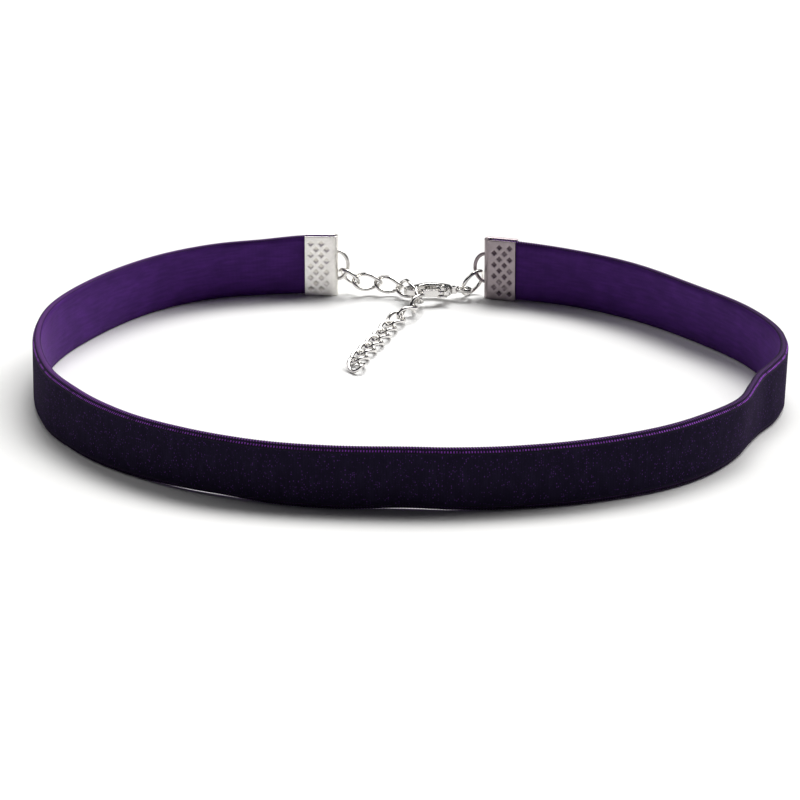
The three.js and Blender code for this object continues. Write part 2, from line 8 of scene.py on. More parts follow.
import bmesh
import bpy
import numpy as np
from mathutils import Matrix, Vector


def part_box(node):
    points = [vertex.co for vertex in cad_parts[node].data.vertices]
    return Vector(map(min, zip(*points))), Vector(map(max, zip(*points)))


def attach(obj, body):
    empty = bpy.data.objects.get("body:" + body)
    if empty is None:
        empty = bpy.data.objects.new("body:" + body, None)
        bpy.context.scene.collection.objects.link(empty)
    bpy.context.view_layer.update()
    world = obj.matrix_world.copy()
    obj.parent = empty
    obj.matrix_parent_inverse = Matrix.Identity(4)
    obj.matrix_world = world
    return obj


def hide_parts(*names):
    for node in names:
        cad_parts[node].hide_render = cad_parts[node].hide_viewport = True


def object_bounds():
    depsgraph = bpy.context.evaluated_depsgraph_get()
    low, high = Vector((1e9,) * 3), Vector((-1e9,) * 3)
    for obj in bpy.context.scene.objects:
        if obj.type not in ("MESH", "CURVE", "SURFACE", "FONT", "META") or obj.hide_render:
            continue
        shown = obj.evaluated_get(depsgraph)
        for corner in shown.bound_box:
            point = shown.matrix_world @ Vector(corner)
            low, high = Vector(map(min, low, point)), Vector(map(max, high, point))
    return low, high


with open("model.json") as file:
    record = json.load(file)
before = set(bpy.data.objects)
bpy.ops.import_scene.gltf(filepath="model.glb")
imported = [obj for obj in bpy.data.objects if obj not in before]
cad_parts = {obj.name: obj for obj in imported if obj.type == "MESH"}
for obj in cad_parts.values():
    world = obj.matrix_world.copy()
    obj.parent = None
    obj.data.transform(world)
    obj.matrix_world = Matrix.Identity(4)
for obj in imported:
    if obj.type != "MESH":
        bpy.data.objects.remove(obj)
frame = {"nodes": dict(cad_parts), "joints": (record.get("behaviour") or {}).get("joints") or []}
cad_low, cad_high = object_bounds()

bl_info = {
    "name": "Velvet choker",
    "version": (1, 0, 0),
    "blender": (4, 5, 0),
    "location": "View3D > Sidebar > Choker",
    "description": "Builds a velvet choker with its clasp, chain, ribbon ends and studio stage",
    "category": "Object",
}

MM = 0.001
BODY = "choker"
LEVER_BODY = "lever"

# Stations of the ribbon from the left ribbon end round the front to the right one: degrees round the
# loop from +X, share of the plain oval's radius, how much further out the top edge is than the bottom
# one and how high the bottom edge is off the surface, both as shares of the ribbon's width.
STATION_COLUMNS = ("turn", "reach", "lean", "lift")
STATIONS = (
    (116, 1.070, -0.14, 0.0),
    (124, 1.090, -0.18, 0.0),
    (135, 1.080, -0.14, 0.0),
    (150, 1.040, -0.04, 0.0),
    (165, 1.015, 0.00, 0.0),
    (180, 0.990, 0.00, 0.0),
    (195, 0.990, -0.02, 0.0),
    (205, 0.990, -0.02, 0.0),
    (212, 0.995, 0.00, 0.0),
    (221, 1.000, 0.06, 0.005),
    (230, 1.005, 0.10, 0.020),
    (238, 1.005, 0.14, 0.020),
    (247, 1.005, 0.08, 0.005),
    (258, 1.000, 0.04, 0.005),
    (270, 0.995, 0.10, 0.020),
    (278, 1.010, 0.06, 0.015),
    (288, 1.020, 0.04, 0.0),
    (300, 1.040, 0.02, 0.005),
    (313, 1.055, 0.00, 0.010),
    (322, 1.050, 0.02, 0.010),
    (331, 1.030, 0.12, 0.0),
    (338, 1.000, 0.08, 0.0),
    (343, 0.990, 0.02, 0.0),
    (348, 1.000, 0.00, 0.0),
    (354, 1.010, 0.04, 0.0),
    (363, 1.005, 0.04, 0.0),
    (375, 0.980, -0.04, 0.0),
    (390, 0.955, -0.12, 0.0),
    (405, 0.975, -0.08, 0.0),
    (418, 0.995, -0.08, 0.0),
)

# Headings in degrees from +X, from the ribbon to the loop of each ribbon end
END_HEADINGS = {"ribbon_end_left": -4.0, "ribbon_end_right": 164.0}

# Fine sizes of the ribbon
RIBBON_STEP = 0.00024       # distance between two samples along it
GROUND_RIM = 0.00018        # rounded rim of the woven ground
PILE_BANK = 0.00028         # width on which the pile rises from the ground
PILE_GAP = 0.00004          # bare ground that shows between selvedge and pile
PRESSED_PILE = 0.00005      # height of the pile inside the ribbon ends
PILE_RECOVERY = 0.0016      # length on which it rises again outside them
FIRST_TUFTS = 0.001         # from each edge to the even face of the pile
CORD_HALF_THICK = 0.00048   # selvedge, across the ribbon
CORD_HALF_TALL = 0.00024    # selvedge, up the ribbon
CORD_GROOVE = 0.22          # share of its radius that the winding groove takes
CORD_ROUND = 0.0004         # length on the selvedge's map of one radian round it

# Fine sizes of the metal
SHEET_EDGE = 0.00012        # rounded edge of the ribbon ends
LINK_THINNING = 0.95        # share of the wire left by drawing a link
PARTING_ANGLE = 0.035       # half width in radians of the parting in a ring
PARTING_SHARE = 0.3         # share of the wire that it takes
CASTING_GRAIN = 0.00005     # size of the even quads of a cast piece
RIVET_DOME = 0.00008        # height of the domes on the rivet

FLOOR_HALF_SIZE = 4.0

# Soft lights of the room: heading from +X and height in degrees, the angles from the middle of each
# at which it is still full and has faded, and its brightness
LIGHTS = (
    (80, 61, 4, 20, 11.5),
    (32, 50, 4, 22, 8.0),
    (150, 45, 4, 20, 2.2),
)

RINGS = ("jump_ring_chain", "jump_ring_clasp")
LINKS = tuple(name for name in sorted(frame["nodes"]) if name.startswith("chain_link_"))


def length(name, description, default):
    return bpy.props.FloatProperty(
        name=name, description=description, default=default, unit="LENGTH", subtype="DISTANCE", precision=5,
    )


def color(name, description, default):
    return bpy.props.FloatVectorProperty(
        name=name, description=description, default=default, size=4, min=0.0, max=1.0, subtype="COLOR",
    )


class ChokerRibbonSettings(bpy.types.PropertyGroup):
    loop_width: length("Loop width", "Standing loop, left to right over the velvet", 0.1170)
    loop_depth: length("Loop depth", "Standing loop, front to back over the velvet", 0.0998)
    width: length("Ribbon width", "Height of the ribbon as it stands on its edge", 0.0100)
    ground: length("Ground", "Thickness of the woven ground", 0.0010)
    pile: length("Pile", "Height of the pile over the ground", 0.0003)
    selvedge: length("Selvedge", "Width of the bare woven edges", 0.0005)
    rib: length("Rib", "Spacing of the threads along the ribbon", 0.00044)
    pile_color: color("Pile color", "Velvet pile", (0.0125, 0.0092, 0.0235, 1.0))
    speck_color: color("Speck color", "Glints of the ground between the tufts", (0.105, 0.036, 0.210, 1.0))
    back_color: color("Back color", "Woven inner face", (0.088, 0.021, 0.205, 1.0))
    thread_color: color("Thread color", "Row of ground threads beside the pile", (0.520, 0.130, 0.920, 1.0))
    edge_color: color("Edge color", "Rolled selvedge", (0.018, 0.008, 0.033, 1.0))


class ChokerMetalSettings(bpy.types.PropertyGroup):
    link_length: length("Link length", "Outside length of a chain link", 0.0052)
    link_width: length("Link width", "Outside width of a chain link", 0.0032)
    wire: length("Wire", "Wire of the links and rings", 0.0006)
    link_twist: bpy.props.FloatProperty(
        name="Link twist", description="How far each end of a link is twisted out of its middle",
        default=np.pi / 4, subtype="ANGLE", unit="ROTATION",
    )
    end_length: length("Ribbon end length", "Crimped end, from its mouth to its fold", 0.0054)
    end_half: length("Ribbon end half thickness", "From its middle to its outer face", 0.0010)
    end_slot: length("Slot half width", "From its middle to its inner face", 0.0006)
    end_clearance: length("End clearance", "Above and below the ribbon's edges", 0.0001)
    loop_tall: length("End loop height", "Soldered loop, over its wire", 0.0054)
    loop_reach: length("End loop reach", "How far the loop stands out of the fold", 0.0019)
    loop_sink: length("End loop sink", "How deep its wire is soldered into the fold", 0.0003)
    pit_along: length("Pit pitch along", "Embossed pits, spacing along the ribbon", 0.00173)
    pit_up: length("Pit pitch up", "Embossed pits, spacing of like rows", 0.00198)
    pit_width: length("Pit width", "Side of one embossed pit", 0.00090)
    pit_depth: length("Pit depth", "Depth of one embossed pit", 0.00008)
    pit_margin: length("Pit margin", "Plain edge round the pits", 0.0005)
    bright_color: color("Bright metal", "Chain, rings and clasp", (0.86, 0.84, 0.81, 1.0))
    # The two ends' plating and pit colours differ as painted reflections: the left pair is painted lighter,
    # the right pair darker and mauve.
    left_plating_lit: color("Left ribbon end", "Plating of the left ribbon end", (0.97, 0.95, 0.90, 1.0))
    right_plating_shaded: color("Right ribbon end", "Shaded plating of the right one", (0.37, 0.315, 0.33, 1.0))
    left_pits_lit: color("Left stain", "Plating in the left end's pits", (0.66, 0.63, 0.57, 1.0))
    right_pits_shaded: color("Right stain", "Plating in the right end's pits", (0.075, 0.055, 0.065, 1.0))


class ChokerStageSettings(bpy.types.PropertyGroup):
    distance: length("Camera distance", "From the camera to the middle of the picture", 0.867)
    elevation: bpy.props.FloatProperty(
        name="Camera elevation", description="How far the camera looks down",
        default=np.radians(20.0), subtype="ANGLE", unit="ROTATION",
    )
    lens: bpy.props.FloatProperty(
        name="Lens", description="Focal length on a 36 mm sensor", default=251.0, unit="CAMERA",
    )
    aim: bpy.props.FloatVectorProperty(
        name="Aim", description="Middle of the picture on the floor, from the middle of the loop",
        default=(-0.0009, -0.0013), size=2, subtype="XYZ", unit="LENGTH", precision=5,
    )
    light_color: color("Light color", "Soft lights, before their brightness", (1.0, 0.995, 0.98, 1.0))
    light_strength: bpy.props.FloatProperty(
        name="Light strength", description="Factor on all the soft lights", default=1.0, min=0.0,
    )
    floor_color: color("Floor color", "Surface that the choker stands on", (0.93, 0.93, 0.93, 1.0))
    room_color: color("Room color", "Light apart from the soft lights", (0.03, 0.03, 0.033, 1.0))


# Meshes from whole arrays

def surface(points, wrap_rows, wrap_columns):
    """Quads between neighbouring points of a grid, joined round where a direction wraps."""
    rows, columns = points.shape[:2]
    last_row = rows if wrap_rows else rows - 1
    last_column = columns if wrap_columns else columns - 1
    row = np.arange(last_row)[:, None]
    column = np.arange(last_column)[None, :]
    below = (row + 1) % rows
    beside = (column + 1) % columns
    corners = (
        row * columns + column, row * columns + beside, below * columns + beside, below * columns + column,
    )
    faces = np.stack([np.broadcast_to(c, (last_row, last_column)) for c in corners], axis=-1)
    return points.reshape(-1, 3), faces.reshape(-1, 4)


def new_piece(name, points, faces, materials, caps=(), face_slots=None, uv=None, smooth=True):
    """Mesh object at the origin from an array of points, quads, and end loops that close it."""
    mesh = bpy.data.meshes.new(name)
    polygons = faces.tolist() + [list(loop) for loop in caps]
    mesh.from_pydata(points.tolist(), [], polygons)
    for material in materials:
        mesh.materials.append(material)
    if face_slots is not None:
        slots = np.zeros(len(polygons), dtype=np.int32)
        slots[:len(face_slots)] = face_slots
        mesh.polygons.foreach_set("material_index", slots)
    if uv is not None:
        layer = mesh.uv_layers.new(name="Weave")
        corner = np.empty(len(mesh.loops), dtype=np.int32)
        mesh.loops.foreach_get("vertex_index", corner)
        layer.data.foreach_set("uv", uv[corner].astype(np.float32).ravel())
    mesh.polygons.foreach_set("use_smooth", np.full(len(polygons), smooth))
    mesh.update()
    piece = bpy.data.objects.new(name, mesh)
    bpy.context.scene.collection.objects.link(piece)
    return piece


def point_outwards(piece):
    """Turns every face of a closed piece to point out of it."""
    edit = bmesh.new()
    edit.from_mesh(piece.data)
    bmesh.ops.recalc_face_normals(edit, faces=edit.faces)
    edit.to_mesh(piece.data)
    edit.free()


def hand_over(piece, slot, body, *nodes):
    """The piece rides on a body and stands for the named nodes, which are hidden; slot is not used."""
    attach(piece, body)
    if nodes:
        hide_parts(*nodes)


def tube_points(middle, ahead, first_side, half_a, half_b, sides):
    """Ring of points round each place of a path: half_a times the cosine along the side vector plus
    half_b times the sine along the cross product of the path's direction and that side vector."""
    side = first_side - ahead * np.sum(first_side * ahead, axis=1, keepdims=True)
    side /= np.linalg.norm(side, axis=1, keepdims=True)
    other = np.cross(ahead, side)
    around = np.linspace(0.0, 2.0 * np.pi, sides, endpoint=False)
    a = np.broadcast_to(half_a, (len(middle), sides)) * np.cos(around)
    b = np.broadcast_to(half_b, (len(middle), sides)) * np.sin(around)
    return middle[:, None, :] + a[:, :, None] * side[:, None, :] + b[:, :, None] * other[:, None, :]


def directions(path, closed):
    """Unit direction of a path at each of its points, from its two neighbours."""
    if closed:
        ahead = np.roll(path, -1, axis=0) - np.roll(path, 1, axis=0)
    else:
        ahead = np.gradient(path, axis=0)
    return ahead / np.linalg.norm(ahead, axis=1, keepdims=True)


def turned(points, heading):
    """Points turned about Z by a heading in degrees."""
    angle = np.radians(heading)
    x = points[..., 0] * np.cos(angle) - points[..., 1] * np.sin(angle)
    y = points[..., 0] * np.sin(angle) + points[..., 1] * np.cos(angle)
    return np.stack([x, y, points[..., 2]], axis=-1)


def node_points(name):
    """Every different vertex of a node, once."""
    mesh = frame["nodes"][name].data
    points = np.empty(len(mesh.vertices) * 3)
    mesh.vertices.foreach_get("co", points)
    return np.unique(np.round(points.reshape(-1, 3), 7), axis=0)


def main_directions(name):
    """Middle of a node and its main directions, from the longest to the shortest, right-handed."""
    points = node_points(name)
    middle = points.mean(axis=0)
    spread = np.cov((points - middle).T)
    axes = np.linalg.eigh(spread)[1][:, ::-1]
    if np.linalg.det(axes) < 0:
        axes[:, 2] *= -1
    return middle, axes


# Path of the ribbon

def curve_through(knots, share, even):
    """Catmull-Rom curve through the knots at each share of its spans. The time between two knots is
    the square root of their distance, or 1 throughout where even is true."""
    padded = np.vstack([2 * knots[:1] - knots[1:2], knots, 2 * knots[-1:] - knots[-2:-1]])
    spans = len(knots) - 1
    span = np.clip(np.floor(share * spans).astype(int), 0, spans - 1)
    t = (share * spans - span)[:, None]
    p0, p1, p2, p3 = (padded[span + k] for k in range(4))
    if even:
        start = 0.5 * (p2 - p0)
        end = 0.5 * (p3 - p1)
    else:
        t0, t1, t2 = (np.sqrt(np.linalg.norm(b - a, axis=1, keepdims=True))
                      for a, b in ((p0, p1), (p1, p2), (p2, p3)))
        start = ((p1 - p0) / t0 - (p2 - p0) / (t0 + t1) + (p2 - p1) / t1) * t1
        end = ((p2 - p1) / t1 - (p3 - p1) / (t1 + t2) + (p3 - p2) / t2) * t1
    return (p1 + start * t + (-3 * p1 + 3 * p2 - 2 * start - end) * t ** 2
            + (2 * p1 - 2 * p2 + start + end) * t ** 3)


def end_mouth(name, metal):
    """Middle of a ribbon end's mouth on the surface, from the corners of the node's box."""
    low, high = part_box(name)
    angle = np.radians(END_HEADINGS[name])
    sine = abs(np.sin(angle)) * metal.end_half
    cosine = abs(np.cos(angle)) * metal.end_half
    if name == "ribbon_end_left":
        return np.array([low[0] + sine, high[1] - cosine])
    return np.array([high[0] - sine, low[1] + cosine])


def station_knots(ribbon):
    """Plan of the stations about the middle of the loop: a share of the radius of an ellipse."""
    table = dict(zip(STATION_COLUMNS, np.array(STATIONS, dtype=float).T))
    turn = np.radians(table["turn"])
    inset = ribbon.pile + ribbon.ground / 2
    wide = ribbon.loop_width / 2 - inset
    deep = ribbon.loop_depth / 2 - inset
    radius = table["reach"] * wide * deep / np.hypot(deep * np.cos(turn), wide * np.sin(turn))
    plan = np.stack([radius * np.cos(turn), radius * np.sin(turn)], axis=1)
    edges = np.stack([table["lean"], table["lift"]], axis=1)
    return plan, edges


def loop_middle(ribbon):
    """Middle of the loop in the frame, from the ribbon's box and the stations' own extent."""
    plan, edges = station_knots(ribbon)
    share = np.linspace(0.0, 1.0, 4000)
    path = curve_through(plan, share, False)
    lean = np.abs(curve_through(edges, share, True)[:, 0]) * (ribbon.width / 2 - ribbon.selvedge)
    ahead = directions(path, False)
    out = np.stack([ahead[:, 1], -ahead[:, 0]], axis=1)
    outer = path + out * (ribbon.ground / 2 + ribbon.pile + lean)[:, None]
    low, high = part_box("velvet_ribbon")
    return np.array([(low[0] + high[0]) / 2 - (outer[:, 0].min() + outer[:, 0].max()) / 2,
                     low[1] - outer[:, 1].min()])


def ribbon_path(ribbon, metal, spacing):
    """Even samples along the ribbon: plan, outward direction, lean, lift and distance from its end."""
    plan, edges = station_knots(ribbon)
    middle = loop_middle(ribbon)
    mouths = [end_mouth(name, metal) for name in END_HEADINGS]
    deep = metal.end_length - 2 * metal.end_slot
    tips = []
    for mouth, heading in zip(mouths, END_HEADINGS.values()):
        angle = np.radians(heading)
        tips.append(mouth + deep * np.array([np.cos(angle), np.sin(angle)]))
    still = np.array([[0.0, metal.end_clearance / ribbon.width]])
    knots = np.vstack([tips[:1], mouths[:1], plan + middle, mouths[1:], tips[1:]])
    knot_edges = np.vstack([still, still, edges, still, still])
    spans = len(knots) - 1
    share = np.linspace(1.0 / spans, 1.0 - 1.0 / spans, 12000)
    path = np.vstack([tips[:1], curve_through(knots, share, False), tips[1:]])
    edge = np.vstack([still, curve_through(knot_edges, share, True), still])
    run = np.concatenate([[0.0], np.cumsum(np.linalg.norm(np.diff(path, axis=0), axis=1))])
    places = np.linspace(0.0, run[-1], int(round(run[-1] / spacing)) + 1)
    plan = np.stack([np.interp(places, run, path[:, k]) for k in range(2)], axis=1)
    lean = np.interp(places, run, edge[:, 0])
    lift = np.interp(places, run, edge[:, 1])
    ahead = directions(plan, False)
    out = np.stack([ahead[:, 1], -ahead[:, 0]], axis=1)
    return {"plan": plan, "ahead": ahead, "out": out, "lean": lean, "lift": lift, "run": places}


def on_ribbon(path, ribbon, across, up):
    """Places on the ribbon: out from its middle by across plus the lean's share of the height, and
    above its lower edge by up. Both are arrays with a row for each sample of the path."""
    shift = across + path["lean"][:, None] * (up - ribbon.width / 2)
    x = path["plan"][:, :1] + path["out"][:, :1] * shift
    y = path["plan"][:, 1:] + path["out"][:, 1:] * shift
    z = up + path["lift"][:, None] * ribbon.width
    return np.stack([x, y, z], axis=-1)


# Finishes

class Nodes:
    """Small helper that adds and links the nodes of one material."""

    def __init__(self, name):
        self.material = bpy.data.materials.new(name)
        self.material.use_nodes = True
        self.tree = self.material.node_tree
        self.shader = self.tree.nodes["Principled BSDF"]

    def add(self, kind, **values):
        node = self.tree.nodes.new(kind)
        for key, value in values.items():
            setattr(node, key, value)
        return node

    def link(self, source, target):
        self.tree.links.new(source, target)

    def math(self, operation, first, second=None, third=None):
        node = self.add("ShaderNodeMath", operation=operation)
        for socket, value in zip(node.inputs, (first, second, third)):
            if value is None:
                continue
            if isinstance(value, (int, float)):
                socket.default_value = value
            else:
                self.link(value, socket)
        return node.outputs[0]

    def mix(self, factor, first, second):
        node = self.add("ShaderNodeMix", data_type="RGBA")
        for socket, value in ((node.inputs[0], factor), (node.inputs[6], first), (node.inputs[7], second)):
            if isinstance(value, (int, float)):
                socket.default_value = value
            elif isinstance(value, bpy.types.NodeSocket):
                self.link(value, socket)
            else:
                socket.default_value = tuple(value)
        return node.outputs[2]

    def noise(self, coordinates, scale, detail=3.0, stretch=None):
        source = coordinates
        if stretch is not None:
            mapping = self.add("ShaderNodeMapping")
            mapping.inputs["Scale"].default_value = stretch
            self.link(coordinates, mapping.inputs["Vector"])
            source = mapping.outputs[0]
        node = self.add("ShaderNodeTexNoise")
        node.inputs["Scale"].default_value = scale
        node.inputs["Detail"].default_value = detail
        self.link(source, node.inputs["Vector"])
        return node.outputs["Fac"]

    def band(self, value, low, high):
        node = self.add("ShaderNodeMapRange", interpolation_type="SMOOTHSTEP")
        node.inputs["From Min"].default_value = low
        node.inputs["From Max"].default_value = high
        self.link(value, node.inputs["Value"])
        return node.outputs[0]

    def bump(self, height, strength, distance):
        node = self.add("ShaderNodeBump")
        node.inputs["Strength"].default_value = strength
        node.inputs["Distance"].default_value = distance
        self.link(height, node.inputs["Height"])
        self.link(node.outputs[0], self.shader.inputs["Normal"])

    def weave(self):
        """The piece's own map: millimetres along the ribbon and up its width."""
        uv = self.add("ShaderNodeUVMap", uv_map="Weave")
        split = self.add("ShaderNodeSeparateXYZ")
        self.link(uv.outputs[0], split.inputs[0])
        return uv.outputs[0], split.outputs[0], split.outputs[1]

    def set(self, **values):
        for key, value in values.items():
            self.shader.inputs[key.replace("_", " ")].default_value = value


def stripes(nodes, along, spacing, shift=0.0):
    """Wave from 0 to 1 and back, once in each spacing."""
    turns = nodes.math("MULTIPLY_ADD", along, 2 * np.pi / spacing, shift)
    return nodes.math("MULTIPLY_ADD", nodes.math("COSINE", turns), 0.5, 0.5)


def velvet_pile(ribbon):
    """Tufts in rows across the ribbon, dark from the side, with the purple ground glinting between."""
    nodes = Nodes("velvet_pile")
    uv, along, up = nodes.weave()
    rib = ribbon.rib / MM
    cells = nodes.add("ShaderNodeTexVoronoi")
    squeeze = nodes.add("ShaderNodeMapping")
    squeeze.inputs["Scale"].default_value = (1 / (rib * 0.6), 1 / (rib * 0.9), 1.0)
    nodes.link(uv, squeeze.inputs["Vector"])
    nodes.link(squeeze.outputs[0], cells.inputs["Vector"])
    cells.inputs["Scale"].default_value = 1.0
    cells.inputs["Randomness"].default_value = 0.8
    chance = nodes.add("ShaderNodeSeparateColor")
    nodes.link(cells.outputs["Color"], chance.inputs[0])
    patches = nodes.noise(uv, 0.45, 2.0)
    lucky = nodes.math("MULTIPLY_ADD", patches, 0.9, chance.outputs[0])
    glint = nodes.band(lucky, 0.78, 1.30)
    spot = nodes.band(cells.outputs["Distance"], 0.42, 0.10)
    speck = nodes.math("MULTIPLY", glint, spot)
    rows = stripes(nodes, along, rib)
    nap = nodes.noise(uv, 0.8, 4.0, (1.0, 0.35, 1.0))
    shade = nodes.math("MULTIPLY_ADD", rows, 0.1, nap)
    dark = nodes.mix(nodes.band(shade, 0.4, 1.1), ribbon.pile_color,
                     tuple(c * 1.9 for c in ribbon.pile_color[:3]) + (1.0,))
    nodes.link(nodes.mix(speck, dark, ribbon.speck_color), nodes.shader.inputs["Base Color"])
    fuzz = nodes.noise(uv, 9.0, 3.0)
    nodes.bump(nodes.math("MULTIPLY_ADD", rows, 0.3, fuzz), 0.6, 0.00006)
    nodes.set(Roughness=1.0, Sheen_Weight=0.05, Sheen_Roughness=0.4, Sheen_Tint=(0.50, 0.26, 0.75, 1.0))
    nodes.shader.inputs["Specular IOR Level"].default_value = 0.05
    return nodes.material


def ribbon_back(ribbon):
    """Close satin weave: fine threads along the ribbon over threads across it."""
    nodes = Nodes("ribbon_back")
    uv, along, up = nodes.weave()
    rib = ribbon.rib / MM
    across = stripes(nodes, along, rib * 0.5)
    lengthways = stripes(nodes, up, rib * 0.45)
    weave = nodes.math("MULTIPLY", across, lengthways)
    cloud = nodes.noise(uv, 0.25, 4.0)
    slub = nodes.noise(uv, 1.2, 3.0, (0.25, 1.6, 1.0))
    tone = nodes.math("MULTIPLY_ADD", cloud, 0.5, nodes.math("MULTIPLY", slub, 0.5))
    tone = nodes.math("MULTIPLY_ADD", weave, 0.35, tone)
    deep = tuple(c * 0.62 for c in ribbon.back_color[:3]) + (1.0,)
    pale = tuple(min(1.0, c * 1.25) for c in ribbon.back_color[:3]) + (1.0,)
    nodes.link(nodes.mix(nodes.band(tone, 0.35, 0.95), deep, pale), nodes.shader.inputs["Base Color"])
    nodes.bump(weave, 0.35, 0.00004)
    nodes.set(Roughness=0.62, Sheen_Weight=0.12, Sheen_Roughness=0.35, Sheen_Tint=(0.62, 0.16, 0.90, 1.0))
    nodes.shader.inputs["Specular IOR Level"].default_value = 0.1
    return nodes.material


def ground_threads(ribbon):
    """Bare ground beside the selvedge, and the first tufts, with one purple stitch in each rib
    where the pile begins, fainter along the lower edge as painted shade."""
    nodes = Nodes("ground_threads")
    uv, along, up = nodes.weave()
    rib = ribbon.rib / MM
    below_top = nodes.math("SUBTRACT", ribbon.width / MM, up)
    edge = nodes.math("MINIMUM", up, below_top)
    stitch = nodes.band(stripes(nodes, along, rib), 0.35, 0.8)
    row = nodes.band(nodes.math("ABSOLUTE", nodes.math("SUBTRACT", edge, 0.56)), 0.15, 0.05)
    wander = nodes.band(nodes.noise(uv, 1.1, 2.0), 0.25, 0.55)
    # Painted shade: the stitches are dimmed towards the lower edge, where shadow falls.
    bottom_shade = nodes.math("MULTIPLY_ADD", nodes.band(up, 2.0, 6.0), 0.85, 0.15)
    strength = nodes.math("MULTIPLY", wander, bottom_shade)
    factor = nodes.math("MULTIPLY", nodes.math("MULTIPLY", stitch, row), strength)
    ground = nodes.mix(nodes.band(edge, 0.28, 0.42), ribbon.edge_color, ribbon.pile_color)
    nodes.link(nodes.mix(factor, ground, ribbon.thread_color), nodes.shader.inputs["Base Color"])
    fuzz = nodes.noise(uv, 9.0, 3.0)
    nodes.bump(nodes.math("MULTIPLY_ADD", factor, 1.0, fuzz), 0.6, 0.00006)
    nodes.set(Roughness=0.9, Sheen_Weight=0.08, Sheen_Roughness=0.4, Sheen_Tint=(0.5, 0.26, 0.75, 1.0))
    nodes.shader.inputs["Specular IOR Level"].default_value = 0.15
    return nodes.material


def rolled_selvedge(ribbon):
    """Bound edge of the weave: dark thread with paler crests, partly the purple of the threads and partly a
    painted highlight.
    """
    nodes = Nodes("rolled_selvedge")
    uv, along, up = nodes.weave()
    fibres = nodes.noise(uv, 6.0, 3.0, (1.0, 3.0, 1.0))
    crest = stripes(nodes, nodes.math("MULTIPLY_ADD", up, 0.25, along), ribbon.rib / MM)
    tone = nodes.math("MULTIPLY_ADD", fibres, 0.5, crest)
    # Painted highlight: the crests of the winding get a lighter colour than the grooves.
    crest_highlight = tuple(0.35 * c for c in ribbon.thread_color[:3]) + (1.0,)
    nodes.link(nodes.mix(nodes.band(tone, 0.75, 1.35), ribbon.edge_color, crest_highlight),
               nodes.shader.inputs["Base Color"])
    nodes.bump(fibres, 0.4, 0.00003)
    nodes.set(Roughness=0.8, Sheen_Weight=0.06, Sheen_Roughness=0.4, Sheen_Tint=(0.5, 0.26, 0.75, 1.0))
    nodes.shader.inputs["Specular IOR Level"].default_value = 0.2
    return nodes.material


def bright_metal(metal):
    """Polished plating with faint drawing marks and a little unevenness."""
    nodes = Nodes("bright_metal")
    place = nodes.add("ShaderNodeTexCoord").outputs["Object"]
    cloud = nodes.noise(place, 900.0, 4.0)
    fine = nodes.noise(place, 5200.0, 3.0)
    darker = tuple(c * 0.82 for c in metal.bright_color[:3]) + (1.0,)
    nodes.link(nodes.mix(cloud, darker, metal.bright_color), nodes.shader.inputs["Base Color"])
    rough = nodes.add("ShaderNodeMapRange")
    rough.inputs["To Min"].default_value = 0.10
    rough.inputs["To Max"].default_value = 0.26
    nodes.link(cloud, rough.inputs["Value"])
    nodes.link(rough.outputs[0], nodes.shader.inputs["Roughness"])
    nodes.bump(fine, 0.25, 0.00002)
    nodes.set(Metallic=1.0)
    return nodes.material


def crimped_metal(name, plating, pit_color):
    """Embossed sheet: paler on the raised net, darker in the pits, with worn edges.
    The colours passed in carry each end's painted reflection.
    """
    nodes = Nodes(name + "_plating")
    place = nodes.add("ShaderNodeTexCoord").outputs["Object"]
    pit = nodes.add("ShaderNodeAttribute", attribute_name="pit").outputs["Fac"]
    cloud = nodes.noise(place, 700.0, 5.0)
    fine = nodes.noise(place, 4200.0, 3.0)
    pit_mask = nodes.math("MULTIPLY", nodes.band(pit, 0.05, 0.75), nodes.band(cloud, 0.15, 0.6))
    duller = tuple(c * 0.8 for c in plating[:3]) + (1.0,)
    worn = nodes.mix(nodes.band(cloud, 0.35, 0.75), duller, plating)
    nodes.link(nodes.mix(pit_mask, worn, pit_color), nodes.shader.inputs["Base Color"])
    rough = nodes.add("ShaderNodeMapRange")
    rough.inputs["To Min"].default_value = 0.27
    rough.inputs["To Max"].default_value = 0.46
    nodes.link(cloud, rough.inputs["Value"])
    nodes.link(rough.outputs[0], nodes.shader.inputs["Roughness"])
    nodes.bump(fine, 0.3, 0.00003)
    nodes.set(Metallic=1.0)
    return nodes.material


# Pieces

